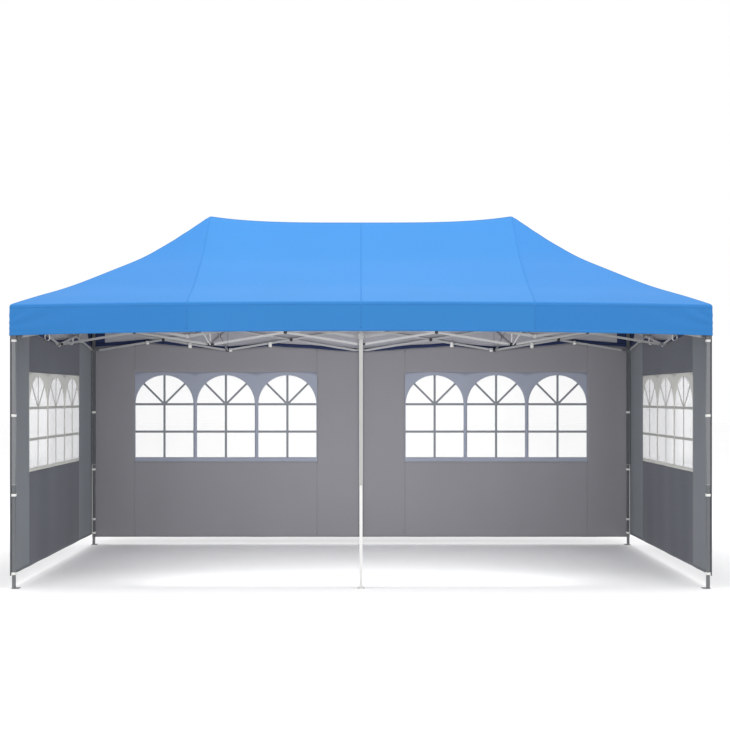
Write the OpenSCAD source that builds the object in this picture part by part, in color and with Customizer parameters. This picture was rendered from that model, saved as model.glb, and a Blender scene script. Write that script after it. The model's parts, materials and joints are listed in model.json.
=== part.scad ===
/* [Plan] */
// Distance between neighbouring truss nodes; the plan is four bays by two
bay = 1475; // [1460:5:1490]
// How far the valance's outer face stands outside the leg centres
valance_out = 32; // [31:1:40]

/* [Heights] */
// Height of the eave
eave_h = 2410; // [2405:5:2450]
// Height of the two peaks
peak_h = 3380; // [3300:5:3450]
// How far the roof's slope hangs below a straight line, as the factor of u(1-u)
roof_sag = 370; // [200:10:420]
// How far the ridge hangs between the two peaks
ridge_drop = 62; // [20:1:80]
// Depth of the valance
valance_h = 260; // [200:5:300]
// Height of the upper truss pivots
truss_top = 2375; // [2360:1:2378]
// Height between the upper and lower truss pivots when the frame is open
truss_rise = 230; // [210:5:250]

/* [Legs] */
// Width of the square outer leg tube
leg_w = 32; // [32:1:33]
// Wall thickness of the leg tubes
leg_wall = 1.2; // [1:0.1:1.5]
// Width of the square inner leg tube
inner_w = 26; // [24:1:26]
// Height of the outer leg's lower end
outer_foot_z = 885; // [850:5:890]
// Height of the inner leg's upper end
inner_top_z = 1150; // [1100:10:1250]
// Thickness of the foot plate
plate_t = 5; // [4:1:6]
// Radius of the stake hole in each foot plate
stake_r = 5.5; // [4.5:0.5:6]

/* [Truss] */
// Height of a truss bar
bar_h = 22; // [20:1:22]
// Thickness of a truss bar
bar_t = 11; // [10:1:11]
// Wall thickness of a truss bar
bar_wall = 0.8; // [0.8:0.1:1.2]
// Distance from a leg's centre to the pivots on its brackets
reach = 64; // [64:1:70]
// Radius of the rivets
pin_r = 3; // [2.5:0.5:3]
// Radius of the peak pole
pole_r = 10; // [8:0.5:10]

/* [Fabric] */
// Thickness of the canopy and the walls
fabric_t = 1.2; // [1:0.2:2]
// Height of the back walls' lower edge
back_wall_z = 80; // [60:5:120]
// Height of the end walls' lower edge
end_wall_z = 110; // [60:5:120]

/* [Back windows] */
// Width of one arched window in a back wall
arch_w = 640; // [600:10:650]
// Space between two arched windows
arch_gap = 40; // [30:5:60]
// Height of the windows' lower edge
sill_z = 962; // [900:1:1000]
// Height where the arches spring
spring_z = 1548; // [1500:1:1600]
// How far the windows stand beyond the middle of their bay pair, towards the corner
arch_shift = 20; // [0:5:40]

/* [End windows] */
// Width of one arched window in an end wall
end_arch_w = 580; // [540:10:640]
// Space between two arched windows
end_arch_gap = 45; // [30:5:60]
// Height of the windows' lower edge
end_sill_z = 985; // [900:5:1050]
// Height where the arches spring
end_spring_z = 1528; // [1450:1:1600]

/* [Hidden] */
NAMES = ["front_left", "front_middle", "front_right", "back_left", "back_middle", "back_right"];
PAIR = ["left", "right"];
SIDES = [["front", 4], ["back", 4], ["left", 2], ["right", 2]];
KINDS = ["a", "b"];
WALLS = ["back_wall_left", "back_wall_right", "end_wall_left", "end_wall_right"];
$fn = 48;

truss_low = truss_top - truss_rise;
span = bay - reach;
bar_len = sqrt(span * span + truss_rise * truss_rise);
tilt = atan(truss_rise / span);
bar_gap = 1.5;
plane = (bar_t + bar_gap) / 2;
pin_clear = 0.3;
head_r = 5.5;
head_t = 2;
head_in = plane + bar_t / 2 + 0.35;
spacer_r = 8;
spacer_t = 1;
arm_t = 6;
arm_h = 20;
short_reach = reach / 2;
clevis_in = head_in + head_t + 0.3;
clevis_t = 5;

bracket_w = 44;
bracket_down = 30;
bracket_up = 25;
bracket_cap = 4;
slider_w = 46;
slider_hole = leg_w + 1;
slider_h = 50;
hub_r = 15;
hub_h = 24;
pole_clear = 0.6;
cap_r = 20;
cap_low = 40;

plate_out = 18;
plate_in = 45;
plate_half = 30;
stake_in = 33;

edge_x = 2 * bay + valance_out;
edge_y = bay + valance_out;
under = 0.8 * fabric_t;
ridge_power = 3.7;
wall_in = 25.5;
wall_short = 1.5;
wall_gap = 2;
pane_t = 0.5;
pane_clear = 1;
hang_at = [0, 0.2, 0.36, 0.5, 0.66, 0.81, 1];
hang_z = [2187, 2236, 2190, 2155, 2200, 2172, 2132];
end_hang_z = [2187, 2226, 2182, 2155, 2182, 2226, 2187];

hip_cells = 9;
mid_cells = 10;
grid_x = concat(
    [for (i = [0 : hip_cells]) -edge_x + i * (edge_x - bay) / hip_cells],
    [for (i = [1 : mid_cells - 1]) -bay + i * 2 * bay / mid_cells],
    [for (i = [0 : hip_cells]) bay + i * (edge_x - bay) / hip_cells]
);
grid_y = [for (j = [0 : 2 * hip_cells]) -edge_y + j * edge_y / hip_cells];

frame_white = "gainsboro";
plastic = "dimgray";
wall_grey = "slategray";
canopy_blue = "cornflowerblue";

// Places a line of the frame: +X runs along it from its first node, and on a side +Y points inwards
module place(name) {
    if (name == "front") translate([-2 * bay, -bay, 0]) children();
    if (name == "back") translate([-2 * bay, bay, 0]) mirror([0, 1, 0]) children();
    if (name == "left") translate([-2 * bay, -bay, 0]) mirror([1, -1, 0]) children();
    if (name == "right") translate([2 * bay, -bay, 0]) rotate([0, 0, 90]) children();
    if (name == "cross_left") translate([-bay, -bay, 0]) rotate([0, 0, 90]) children();
    if (name == "cross_right") translate([bay, -bay, 0]) rotate([0, 0, 90]) children();
    if (name == "middle") translate([0, -bay, 0]) rotate([0, 0, 90]) children();
    if (name == "ridge") translate([-2 * bay, 0, 0]) children();
}

// A cylinder along Y, from one y to another
module rod(r, from, to) {
    translate([0, to, 0]) rotate([90, 0, 0]) cylinder(r = r, h = to - from);
}

// A rivet along Y through both bar planes, with a head at each end
module rivet() {
    rod(pin_r, -head_in - head_t, head_in + head_t);
    rod(head_r, -head_in - head_t, -head_in);
    rod(head_r, head_in, head_in + head_t);
}

// A truss bar's open tube along +X from its first pivot, with round ends
module bar_tube() {
    inner_h = bar_h - 2 * bar_wall;
    inner_t = bar_t - 2 * bar_wall;
    difference() {
        union() {
            translate([0, -bar_t / 2, -bar_h / 2]) cube([bar_len, bar_t, bar_h]);
            for (x = [0, bar_len]) translate([x, 0, 0]) rod(bar_h / 2, -bar_t / 2, bar_t / 2);
        }
        translate([-bar_h, -inner_t / 2, -inner_h / 2]) cube([bar_len + 2 * bar_h, inner_t, inner_h]);
    }
}

// A bar in its plane, with holes at some shares of its length and rivets at others
module bar(offset, holes, rivets) {
    difference() {
        translate([0, offset, 0]) bar_tube();
        for (s = holes) translate([s * bar_len, offset, 0]) rod(pin_r + pin_clear, -bar_t, bar_t);
    }
    for (s = rivets) translate([s * bar_len, 0, 0]) rivet();
}

// An a bar falls from its upper left pivot, in the outer plane, and turns on the others' rivets
module bar_a(x) {
    translate([x, 0, truss_top]) rotate([0, tilt, 0]) bar(-plane, [0, 0.5, 1], []);
}

// A b bar rises from its lower left pivot, in the inner plane. It carries the crossing rivet, and
// where it ends on a mid node (end = 0 or 1) the rivet there, whose stubs hold the clevises
module bar_b(x, end = -1, stubs = 0) {
    holes = [for (s = [0, 1]) if (s != end) s];
    rivets = [for (s = [0, 0.5, 1]) if (s == 0.5 || s == end) s];
    stub = clevis_in + clevis_t;
    translate([x, 0, truss_low]) rotate([0, -tilt, 0]) {
        bar(plane, holes, rivets);
        translate([bar_len / 2, 0, 0]) rod(spacer_r, plane - bar_t / 2 - spacer_t, plane);
        if (stubs > 0) translate([end * bar_len, 0, 0]) rod(pin_r, stubs > 1 ? -stub : 0, stub);
    }
}

// Where segment k starts: an odd one beside a leg, an even one on the mid node
function start_x(k) = (k - 1) * bay + (k % 2 == 1 ? reach : 0);

// Segment k of a line between legs: an odd b bar meets the mid node at its upper end
module leg_line_bar(name, k, kind, stubs) {
    place(name) {
        if (kind == "a") bar_a(start_x(k));
        if (kind == "b") bar_b(start_x(k), k % 2, stubs);
    }
}

module side_bar(name, k, kind) {
    color(frame_white) leg_line_bar(name, k, kind, 1);
}

// A bracket's arm along +X with its rivet; it stands beside the bar of the given kind
module arm(kind, root, length) {
    flip = kind == "a" ? 0 : 1;
    mirror([0, flip, 0]) {
        translate([root, bar_gap / 2, -arm_h / 2]) cube([length - root, arm_t, arm_h]);
        translate([length, 0, 0]) {
            rod(arm_h / 2, bar_gap / 2, bar_gap / 2 + arm_t);
            rod(pin_r, -head_in - head_t, bar_gap / 2 + arm_t);
            rod(head_r, -head_in - head_t, -head_in);
        }
    }
}

// The arms of leg n, each as its line, its node on that line and its direction
function arms(n) =
    n == "front_left" ? [["front", 0, 1], ["left", 0, 1]] :
    n == "front_middle" ? [["front", 2, 1], ["front", 2, -1], ["middle", 0, 1]] :
    n == "front_right" ? [["front", 4, -1], ["right", 0, 1]] :
    n == "back_left" ? [["back", 0, 1], ["left", 2, -1]] :
    n == "back_middle" ? [["back", 2, 1], ["back", 2, -1], ["middle", 2, -1]] :
    [["back", 4, -1], ["right", 2, -1]];

// Arms of one leg's bracket; an arm that starts a bay carries "first", one that ends it the other
module leg_arms(n, first, root) {
    last = first == "a" ? "b" : "a";
    for (m = arms(n)) place(m[0]) translate([m[1] * bay, 0, 0]) {
        if (m[2] > 0) arm(first, root, reach);
        if (m[2] < 0) mirror([1, 0, 0]) arm(last, root, reach);
    }
}

function leg_x(n) = 2 * bay * (n == "front_left" || n == "back_left" ? -1 :
    n == "front_middle" || n == "back_middle" ? 0 : 1);
function leg_y(n) = n == "front_left" || n == "front_middle" || n == "front_right" ? -bay : bay;

// A square tube from z = low to z = high
module square_tube(w, wall, low, high) {
    difference() {
        translate([-w / 2, -w / 2, low]) cube([w, w, high - low]);
        translate([-w / 2 + wall, -w / 2 + wall, low - 1])
            cube([w - 2 * wall, w - 2 * wall, high - low + 2]);
    }
}

module outer_leg(n) {
    low = truss_top - bracket_down;
    top = truss_top + bracket_up;
    color(frame_white) translate([leg_x(n), leg_y(n), 0]) {
        square_tube(leg_w, leg_wall, outer_foot_z, top - bracket_cap);
        difference() {
            translate([-bracket_w / 2, -bracket_w / 2, low]) cube([bracket_w, bracket_w, top - low]);
            translate([-leg_w / 2, -leg_w / 2, low - 1]) cube([leg_w, leg_w, top - bracket_cap - low + 1]);
        }
    }
    color(plastic) translate([0, 0, truss_top]) leg_arms(n, "a", bracket_w / 2 - 1);
}

// The inner tube with its foot plate, which reaches towards the inside of the gazebo
module inner_leg(n) {
    inward = leg_y(n) < 0 ? 1 : -1;
    corner = leg_x(n) == 0 ? 0 : leg_x(n) < 0 ? 1 : -1;
    x0 = corner == 0 ? -plate_half : corner > 0 ? -plate_out : -plate_in;
    x1 = corner == 0 ? plate_half : corner > 0 ? plate_in : plate_out;
    y0 = inward > 0 ? -plate_out : -plate_in;
    color(frame_white) translate([leg_x(n), leg_y(n), 0]) {
        square_tube(inner_w, leg_wall, plate_t / 2, inner_top_z);
        difference() {
            translate([x0, y0, 0]) cube([x1 - x0, plate_out + plate_in, plate_t]);
            translate([corner * stake_in, inward * stake_in, -1]) cylinder(r = stake_r, h = plate_t + 2);
        }
    }
}

module slider(n) {
    color(plastic) translate([0, 0, truss_low]) {
        translate([leg_x(n), leg_y(n), 0]) difference() {
            translate([-slider_w / 2, -slider_w / 2, -slider_h / 2]) cube([slider_w, slider_w, slider_h]);
            translate([-slider_hole / 2, -slider_hole / 2, -slider_h])
                cube([slider_hole, slider_hole, 2 * slider_h]);
        }
        leg_arms(n, "b", slider_w / 2 - 1);
    }
}

// A clevis on a mid rivet, whose axis is local X, with an arm for the bar that starts there
module clevis_shape(kind) {
    difference() {
        union() {
            translate([clevis_in, 0, 0]) rotate([0, 90, 0]) cylinder(r = arm_h / 2, h = clevis_t);
            arm(kind, clevis_in, short_reach);
        }
        translate([clevis_in - 1, 0, 0]) rotate([0, 90, 0])
            cylinder(r = pin_r + pin_clear, h = clevis_t + 2);
    }
}

// The upper and lower clevises where an inner line starts (way = 1) or ends (way = -1)
module clevis_pair(x, way) {
    translate([x, 0, 0]) mirror([way < 0 ? 1 : 0, 0, 0]) {
        translate([0, 0, truss_top]) clevis_shape(way > 0 ? "a" : "b");
        translate([0, 0, truss_low]) clevis_shape(way > 0 ? "b" : "a");
    }
}

// The clevis that carries a cross truss on the front side's upper mid rivet
module clevis(p) {
    color(plastic) place(str("cross_", p)) translate([0, 0, truss_top]) clevis_shape("a");
}

module cross_bar(p) {
    color(frame_white) place(str("cross_", p)) bar_a(short_reach);
}

// A hub's core and its four arms; lower hubs carry the bars' lower ends
module hub(lower, hole) {
    into = lower ? "a" : "b";
    out = lower ? "b" : "a";
    difference() {
        union() {
            translate([0, 0, -hub_h / 2]) cylinder(r = hub_r, h = hub_h);
            for (turn = [0, 1]) rotate([0, 0, turn * 90]) {
                arm(out, 0, short_reach);
                mirror([1, 0, 0]) arm(into, 0, short_reach);
            }
        }
        if (hole > 0) translate([0, 0, -hub_h]) cylinder(r = hole, h = 2 * hub_h);
    }
}

module at_hub(p, z) {
    x = p == "left" ? -bay : bay;
    translate([x, 0, z]) children();
}

module lower_hub(p) {
    color(plastic) at_hub(p, truss_low) hub(true, 0);
}

module peak_pole(p) {
    low = truss_low + hub_h / 2;
    color(frame_white) at_hub(p, 0) {
        translate([0, 0, low]) cylinder(r = pole_r, h = peak_h - cap_low - low);
        translate([0, 0, peak_h - cap_low]) sphere(r = cap_r);
    }
}

module upper_hubs() {
    color(plastic) for (p = PAIR) at_hub(p, truss_top) hub(false, pole_r + pole_clear);
}

// The rest of both cross trusses: the front b bar, the rear pair and their clevises
module cross_trusses() {
    color(frame_white) for (p = PAIR) place(str("cross_", p)) {
        bar_b(short_reach);
        bar_a(bay + short_reach);
        bar_b(bay + short_reach);
        translate([0, 0, truss_low]) clevis_shape("b");
        clevis_pair(2 * bay, -1);
    }
}

// The truss under the ridge, from end to end through both hubs
module ridge_truss() {
    color(frame_white) place("ridge") {
        for (k = [0 : 3]) {
            bar_a(k * bay + short_reach);
            bar_b(k * bay + short_reach);
        }
        for (k = [0, 2]) clevis_pair(k * bay, 1);
        for (k = [2, 4]) clevis_pair(k * bay, -1);
    }
}

// The truss between the two middle legs
module middle_truss() {
    color(frame_white) for (k = [1, 2], kind = KINDS) leg_line_bar("middle", k, kind, 2);
}

// One arched window's outline about x = c, drawn smaller by the inset
module arch(c, width, sill, spring, inset) {
    translate([c - width / 2 + inset, sill + inset])
        square([width - 2 * inset, spring - sill - inset]);
    translate([c, spring]) circle(r = width / 2 - inset);
}

// The three arches of a back wall, whose middle is at x = -bay
module back_arches(inset) {
    for (i = [-1 : 1])
        arch(i * (arch_w + arch_gap) - bay - arch_shift, arch_w, sill_z, spring_z, inset);
}

// The three arches of an end wall
module end_arches(inset) {
    for (i = [-1 : 1])
        arch(i * (end_arch_w + end_arch_gap), end_arch_w, end_sill_z, end_spring_z, inset);
}

// A wall's outline from x0 to x1, hung from ties at shares "at" of the length from a to b, less
// its windows
module wall_outline(x0, x1, a, b, low, at, tops) {
    last = len(at) - 1;
    hung = [for (i = [0 : last]) [min(a + at[i] * (b - a), x1), tops[i]]];
    side = x1 > b ? [[x1, tops[last]]] : [];
    difference() {
        polygon(concat([[x1, low], [x0, low], [x0, tops[0]]], hung, side));
        children();
    }
}

// Stands an outline up facing the back, its outer face at y = outer
module stand_back(outer, t) {
    translate([0, outer, 0]) rotate([90, 0, 0]) linear_extrude(t) children();
}

// Stands an outline up at the left end, its outline's x running backwards along +Y
module stand_end(outer, t) {
    translate([-outer, 0, 0]) rotate([90, 0, 90]) linear_extrude(t) children();
}

module wall(n) {
    side_x = 2 * bay + wall_in - wall_short;
    end_y = bay + wall_in - wall_short;
    flip = n == "back_wall_right" || n == "end_wall_right" ? 1 : 0;
    color(wall_grey) mirror([flip, 0, 0]) {
        if (n == "back_wall_left" || n == "back_wall_right")
            stand_back(bay + wall_in + fabric_t, fabric_t)
                wall_outline(-side_x, -wall_gap, -2 * bay, 0, back_wall_z, hang_at, hang_z)
                    back_arches(0);
        if (n == "end_wall_left" || n == "end_wall_right")
            stand_end(2 * bay + wall_in + fabric_t, fabric_t)
                wall_outline(-end_y, end_y, -bay, bay, end_wall_z, hang_at, end_hang_z)
                    end_arches(0);
    }
}

// The clear panes, in the middle of each wall's thickness
module window_panes() {
    mid = wall_in + (fabric_t + pane_t) / 2;
    color("white", 0.5) for (flip = [0, 1]) mirror([flip, 0, 0]) {
        stand_back(bay + mid, pane_t) back_arches(pane_clear);
        stand_end(2 * bay + mid, pane_t) end_arches(pane_clear);
    }
}

// The roof's height: four slopes that hang a little, and a ridge that hangs between the peaks
function roof_share(x, y) = min(1 - abs(y) / edge_y, (edge_x - abs(x)) / (edge_x - bay));
function ridge_sag(x) = abs(x) < bay ? ridge_drop * (1 - pow(abs(x) / bay, ridge_power)) : 0;
function roof_z(x, y) =
    let (u = roof_share(x, y))
    eave_h + (peak_h - eave_h) * u - roof_sag * u * (1 - u) - ridge_sag(x) * u;

// The canopy: one shell of the roof and its valance
module canopy() {
    nx = len(grid_x);
    ny = len(grid_y);
    size = nx * ny;
    inner = [1 - fabric_t / edge_x, 1 - fabric_t / edge_y];
    low = eave_h - valance_h;
    rim = concat(
        [for (i = [0 : nx - 2]) [i, 0]],
        [for (j = [0 : ny - 2]) [nx - 1, j]],
        [for (i = [nx - 1 : -1 : 1]) [i, ny - 1]],
        [for (j = [ny - 1 : -1 : 1]) [0, j]]
    );
    count = len(rim);
    points = concat(
        [for (x = grid_x, y = grid_y) [x, y, roof_z(x, y)]],
        [for (x = grid_x, y = grid_y) [x * inner[0], y * inner[1], roof_z(x, y) - under]],
        [for (r = rim) [grid_x[r[0]], grid_y[r[1]], low]],
        [for (r = rim) [grid_x[r[0]] * inner[0], grid_y[r[1]] * inner[1], low]]
    );
    // Each cell is split along the diagonal that lies on the hip
    top = [for (i = [0 : nx - 2], j = [0 : ny - 2])
        let (a = i * ny + j, b = a + 1, d = a + ny, c = d + 1,
            same = (grid_x[i] + grid_x[i + 1]) * (grid_y[j] + grid_y[j + 1]) > 0)
        each same ? [[a, b, c], [a, c, d]] : [[a, b, d], [b, c, d]]];
    bottom = [for (f = top) [f[2] + size, f[1] + size, f[0] + size]];
    skirt = [for (k = [0 : count - 1])
        let (m = (k + 1) % count, g = rim[k][0] * ny + rim[k][1], h = rim[m][0] * ny + rim[m][1],
            p = 2 * size + k, q = 2 * size + m)
        each [[g, h, q, p], [g + size, p + count, q + count, h + size], [p, q, q + count, p + count]]];
    color(canopy_blue) polyhedron(points = points, faces = concat(top, bottom, skirt), convexity = 6);
}

for (n = NAMES) {
    outer_leg(n);
    inner_leg(n);
    slider(n);
}
for (s = SIDES, k = [1 : s[1]], t = KINDS)
    side_bar(s[0], k, t);
for (p = PAIR) {
    clevis(p);
    cross_bar(p);
    lower_hub(p);
    peak_pole(p);
}
ridge_truss();
cross_trusses();
middle_truss();
upper_hubs();
for (n = WALLS)
    wall(n);
window_panes();
canopy();
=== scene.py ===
"""Pop up gazebo, three by six metres: the looks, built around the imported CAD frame."""

import json
import math

import bmesh
import bpy
import numpy as np
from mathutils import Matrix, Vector

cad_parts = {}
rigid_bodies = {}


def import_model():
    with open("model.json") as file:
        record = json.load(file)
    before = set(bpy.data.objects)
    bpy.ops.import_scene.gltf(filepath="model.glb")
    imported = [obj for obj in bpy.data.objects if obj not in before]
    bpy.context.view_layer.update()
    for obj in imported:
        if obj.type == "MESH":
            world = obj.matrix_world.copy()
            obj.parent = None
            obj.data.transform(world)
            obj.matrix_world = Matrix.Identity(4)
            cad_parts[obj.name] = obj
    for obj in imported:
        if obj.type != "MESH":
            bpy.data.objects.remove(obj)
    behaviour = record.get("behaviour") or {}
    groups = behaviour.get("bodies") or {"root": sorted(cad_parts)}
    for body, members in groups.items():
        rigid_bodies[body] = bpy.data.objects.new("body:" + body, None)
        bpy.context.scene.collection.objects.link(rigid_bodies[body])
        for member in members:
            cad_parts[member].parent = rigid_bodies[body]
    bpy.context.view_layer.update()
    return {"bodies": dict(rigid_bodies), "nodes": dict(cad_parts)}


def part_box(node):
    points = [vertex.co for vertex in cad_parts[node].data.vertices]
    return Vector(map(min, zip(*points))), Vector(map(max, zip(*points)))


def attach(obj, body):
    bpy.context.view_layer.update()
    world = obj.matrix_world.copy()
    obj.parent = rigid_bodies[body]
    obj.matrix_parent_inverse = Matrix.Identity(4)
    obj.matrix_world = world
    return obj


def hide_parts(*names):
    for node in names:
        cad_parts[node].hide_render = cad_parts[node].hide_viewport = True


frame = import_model()
BODIES, NODES = frame["bodies"], frame["nodes"]
ROOT = "outer_leg_front_middle"

# Sizes taken from the frame, in metres
LEG_NAMES = [f"{row}_{place}" for row in ("front", "back") for place in ("left", "middle", "right")]
EDGE_X, EDGE_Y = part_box("canopy")[1].x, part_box("canopy")[1].y
VALANCE_LOW, PEAK_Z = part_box("canopy")[0].z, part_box("canopy")[1].z
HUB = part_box("lower_hub_right")
BAY = (HUB[0].x + HUB[1].x) / 2
OUTER_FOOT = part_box("outer_leg_front_middle")[0].z
LEG_XY = {n: Vector((2 * BAY * (-1 if "left" in n else 1 if "right" in n else 0),
                     BAY * (-1 if "front" in n else 1))) for n in LEG_NAMES}

# Design values that part.scad gives and the frame's boxes don't
TRUSS_TOP, TRUSS_LOW = 2.375, 2.145
EAVE_Z = 2.410
BRACKET_LOW = 2.345
ROOF_SAG, RIDGE_DROP, RIDGE_POWER = 0.370, 0.062, 3.7
# Windows: arch radius and spacing, sill and spring heights, border below, shift towards the first leg
BACK_WINDOW = (0.320, 0.680, 0.962, 1.548, 0.048, 0.020)
END_WINDOW = (0.290, 0.625, 0.985, 1.528, 0.030, 0.0)
HANG_AT = [0, 0.2, 0.36, 0.5, 0.66, 0.81, 1]
HANG_Z = [2.187, 2.236, 2.190, 2.155, 2.200, 2.172, 2.132]
END_HANG_Z = [2.187, 2.226, 2.182, 2.155, 2.182, 2.226, 2.187]
LEG_HALF, BAR_R, REACH = 0.016, 0.011, 0.064

# Over this height the walls' cloth goes from following the inner legs to following the outer ones
FOOT_TOP, FOOT_SPAN = 1.10, 1.02

scene = bpy.context.scene


def put(name, data):
    """A new object of the scene."""
    obj = bpy.data.objects.new(name, data)
    scene.collection.objects.link(obj)
    return obj


# ---- camera
# The photograph's view: level, from in front, at about two thirds of the eave's height
lens = bpy.data.cameras.new("camera")
lens.sensor_width, lens.lens, lens.clip_end = 36, 57.2, 200
lens.shift_x, lens.shift_y = 0.0055, 0.0436
scene.camera = put("camera", lens)
scene.camera.location, scene.camera.rotation_euler = (0, -11.335, 1.63), (math.pi / 2, 0, 0)


# ---- materials
def shade(code, factor=1.0):
    """A #rrggbb colour as linear RGBA, lighter or darker by a factor."""
    parts = [int(code[i:i + 2], 16) / 255 for i in (1, 3, 5)]
    parts = [c / 12.92 if c < 0.04045 else ((c + 0.055) / 1.055) ** 2.4 for c in parts]
    return [min(1.0, c * factor) for c in parts] + [1.0]


class Paint:
    """A material whose node tree is built by short calls."""

    def __init__(self, name, **sockets):
        self.mat = bpy.data.materials.new(name)
        self.mat.use_nodes = True
        self.tree = self.mat.node_tree
        self.bsdf = self.tree.nodes["Principled BSDF"]
        for socket, value in sockets.items():
            self.bsdf.inputs[socket.replace("_", " ")].default_value = value
        self.where = self.node("TexCoord")["Object"]

    def plug(self, socket, value):
        if isinstance(value, bpy.types.NodeSocket):
            self.tree.links.new(value, socket)
        else:
            socket.default_value = value

    def node(self, kind, inputs=(), **settings):
        """A new node's outputs; inputs are pairs of a socket and what goes in it."""
        n = self.tree.nodes.new("ShaderNode" + kind)
        for key, value in settings.items():
            setattr(n, key, value)
        for socket, value in inputs:
            self.plug(n.inputs[socket], value)
        return n.outputs

    def math(self, operation, *values):
        return self.node("Math", enumerate(values), operation=operation)[0]

    def total(self, *values):
        """The sum of the values, added from the left."""
        result = values[0]
        for v in values[1:]:
            result = self.math("ADD", result, v)
        return result

    def times(self, value, factor):
        return self.math("MULTIPLY", value, factor)

    def axes(self, source=None):
        return self.node("SeparateXYZ", [(0, source or self.where)])

    def noise(self, scale, detail=3.0, stretch=(1, 1, 1)):
        place = self.node("Mapping", [("Vector", self.where), ("Scale", stretch)])[0]
        return self.node("TexNoise", [("Vector", place), ("Scale", scale), ("Detail", detail)])[0]

    def fit(self, value, low, high, out_low, out_high):
        return self.node("MapRange", enumerate((value, low, high, out_low, out_high)))[0]

    def spread(self, noise, low=0.0, high=1.0):
        """Noise, which mostly lies between 0.3 and 0.7, spread over a range."""
        return self.fit(noise, 0.3, 0.7, low, high)

    def mix(self, factor, a, b, blend="MIX"):
        return self.node("Mix", [(0, factor), (6, a), (7, b)], data_type="RGBA", blend_type=blend)[2]

    def scuffed(self, low, high):
        """Moulded nylon's colour: low, with paler scuffs."""
        return self.mix(self.fit(self.noise(85.0, 5.0), 0.56, 0.72, 0.0, 0.5), low, high)

    def done(self, colour, rough, height, strength, distance):
        """The material with these looks; height, strength and distance are its bump's."""
        bump = self.node("Bump", [("Strength", strength), ("Distance", distance), ("Height", height)])
        for socket, value in (("Base Color", colour), ("Roughness", rough), ("Normal", bump[0])):
            self.plug(self.bsdf.inputs[socket], value)
        return self.mat

    def wave(self, value, pitch):
        return self.math("SINE", self.times(value, math.tau / pitch))

    def weave(self, pitch):
        """Threads along every axis, so that they show on any face."""
        return self.total(*[self.wave(a, pitch) for a in self.axes()])


THREAD_PITCH, STITCH_PITCH, RIB_PITCH = 0.0014, 0.0075, 0.0032
# Painted shade: the colour factor that darkens the roof's end panels, beyond the peaks
END_PANEL_PAINTED_SHADE = (0.90, 0.955, 0.985, 1.0)


def cloth(name, code, vary=0.03, rough=0.78, sheen=0.25, painted_end_shade=False):
    """Coated polyester: a fine weave over faint creases. The roof's end panels, beyond the peaks, carry
    painted shade: their colour is made slightly darker."""
    p = Paint(name, Sheen_Weight=sheen, Sheen_Roughness=0.5, Specular_IOR_Level=0.3)
    broad = p.noise(1.3, 4.0)
    fine = p.noise(38.0, 5.0)
    tone = p.spread(p.total(p.times(broad, 0.7), p.times(fine, 0.3)))
    colour = p.mix(tone, shade(code, 1 - vary), shade(code, 1 + vary))
    if painted_end_shade:
        # Painted shade on the roof's end panels, beyond the peaks
        beyond = p.fit(p.math("ABSOLUTE", p.axes()[0]), BAY - 0.002, BAY + 0.002, 0.0, 1.0)
        colour = p.mix(beyond, colour, END_PANEL_PAINTED_SHADE, "MULTIPLY")
    creases = p.total(p.times(p.noise(7.0), 3.0), p.times(p.weave(THREAD_PITCH), 0.12))
    return p.done(colour, p.spread(fine, rough - 0.06, rough + 0.06), creases, 0.5, 0.0002)


def powder_coat(name, code, rough=0.42, bracket=False):
    """Powder-coated tube: orange peel, faint rub marks, dust low down. A leg's top bracket is part of
    the same CAD node, and is black nylon."""
    p = Paint(name, Coat_Weight=0.15, Coat_Roughness=0.25)
    rub = p.noise(30.0, 4.0, (9, 9, 0.6))
    height = p.axes()[2]
    dust = p.times(p.fit(height, 0.0, 0.22, 0.4, 0.0), p.noise(22.0, 4.0))
    worn = p.mix(p.fit(rub, 0.35, 0.75, 0.0, 1.0), shade(code, 1.04), shade(code, 0.93))
    colour, shine = p.mix(dust, worn, shade("#8d8a83")), p.spread(rub, rough - 0.07, rough + 0.1)
    if bracket:
        nylon = p.fit(height, BRACKET_LOW - 0.0002, BRACKET_LOW + 0.0002, 0.0, 1.0)
        colour = p.mix(nylon, colour, p.scuffed(shade("#1b1c1f"), shade("#2c2d31")))
        shine = p.total(shine, p.times(nylon, 0.12))
    return p.done(colour, shine, p.noise(650.0, 2.0), 0.18, 0.0003)


def moulded(name, code):
    """Moulded nylon: a fine grain with paler scuffs."""
    p = Paint(name, Specular_IOR_Level=0.45)
    return p.done(p.scuffed(shade(code), shade(code, 2.2)), p.spread(p.noise(160.0), 0.47, 0.63),
                  p.noise(1400.0, 2.0), 0.25, 0.0002)


def webbing(name, code):
    """Woven strap: ribs across it and a slightly fuzzy face."""
    p = Paint(name, Sheen_Weight=0.3, Sheen_Roughness=0.6)
    ribs = p.weave(RIB_PITCH)
    colour = p.mix(p.fit(ribs, -1.6, 1.6, 0.0, 1.0), shade(code, 0.86), shade(code, 1.05))
    return p.done(colour, 0.85, ribs, 0.5, 0.0005)


def stitched(name, code, thread, rows=(0.0035, 0.0065), sheen=0.2):
    """A seam tape with rows of stitches, placed by the strip's own coordinates."""
    p = Paint(name, Sheen_Weight=sheen, Sheen_Roughness=0.5, Specular_IOR_Level=0.3)
    strip = p.node("Attribute", attribute_name="strip")["Vector"]
    along, across, _ = p.axes(strip)
    middle, half = (rows[0] + rows[1]) / 2, (rows[1] - rows[0]) / 2
    off = p.math("ABSOLUTE", p.math("SUBTRACT", p.math("ABSOLUTE", across), middle))
    row = p.fit(off, half * 0.35, half * 0.6, 1.0, 0.0)
    stitch = p.times(row, p.fit(p.wave(along, STITCH_PITCH), -0.35, 0.0, 0.0, 1.0))
    cloth_colour = p.mix(p.spread(p.noise(1.3, 4.0)), shade(code, 0.95), shade(code, 1.05))
    puckers = p.total(p.times(p.noise(55.0), 1.1), p.times(stitch, -1.0))
    return p.done(p.mix(stitch, cloth_colour, shade(thread)), 0.75, puckers, 0.4, 0.0005)


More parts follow.
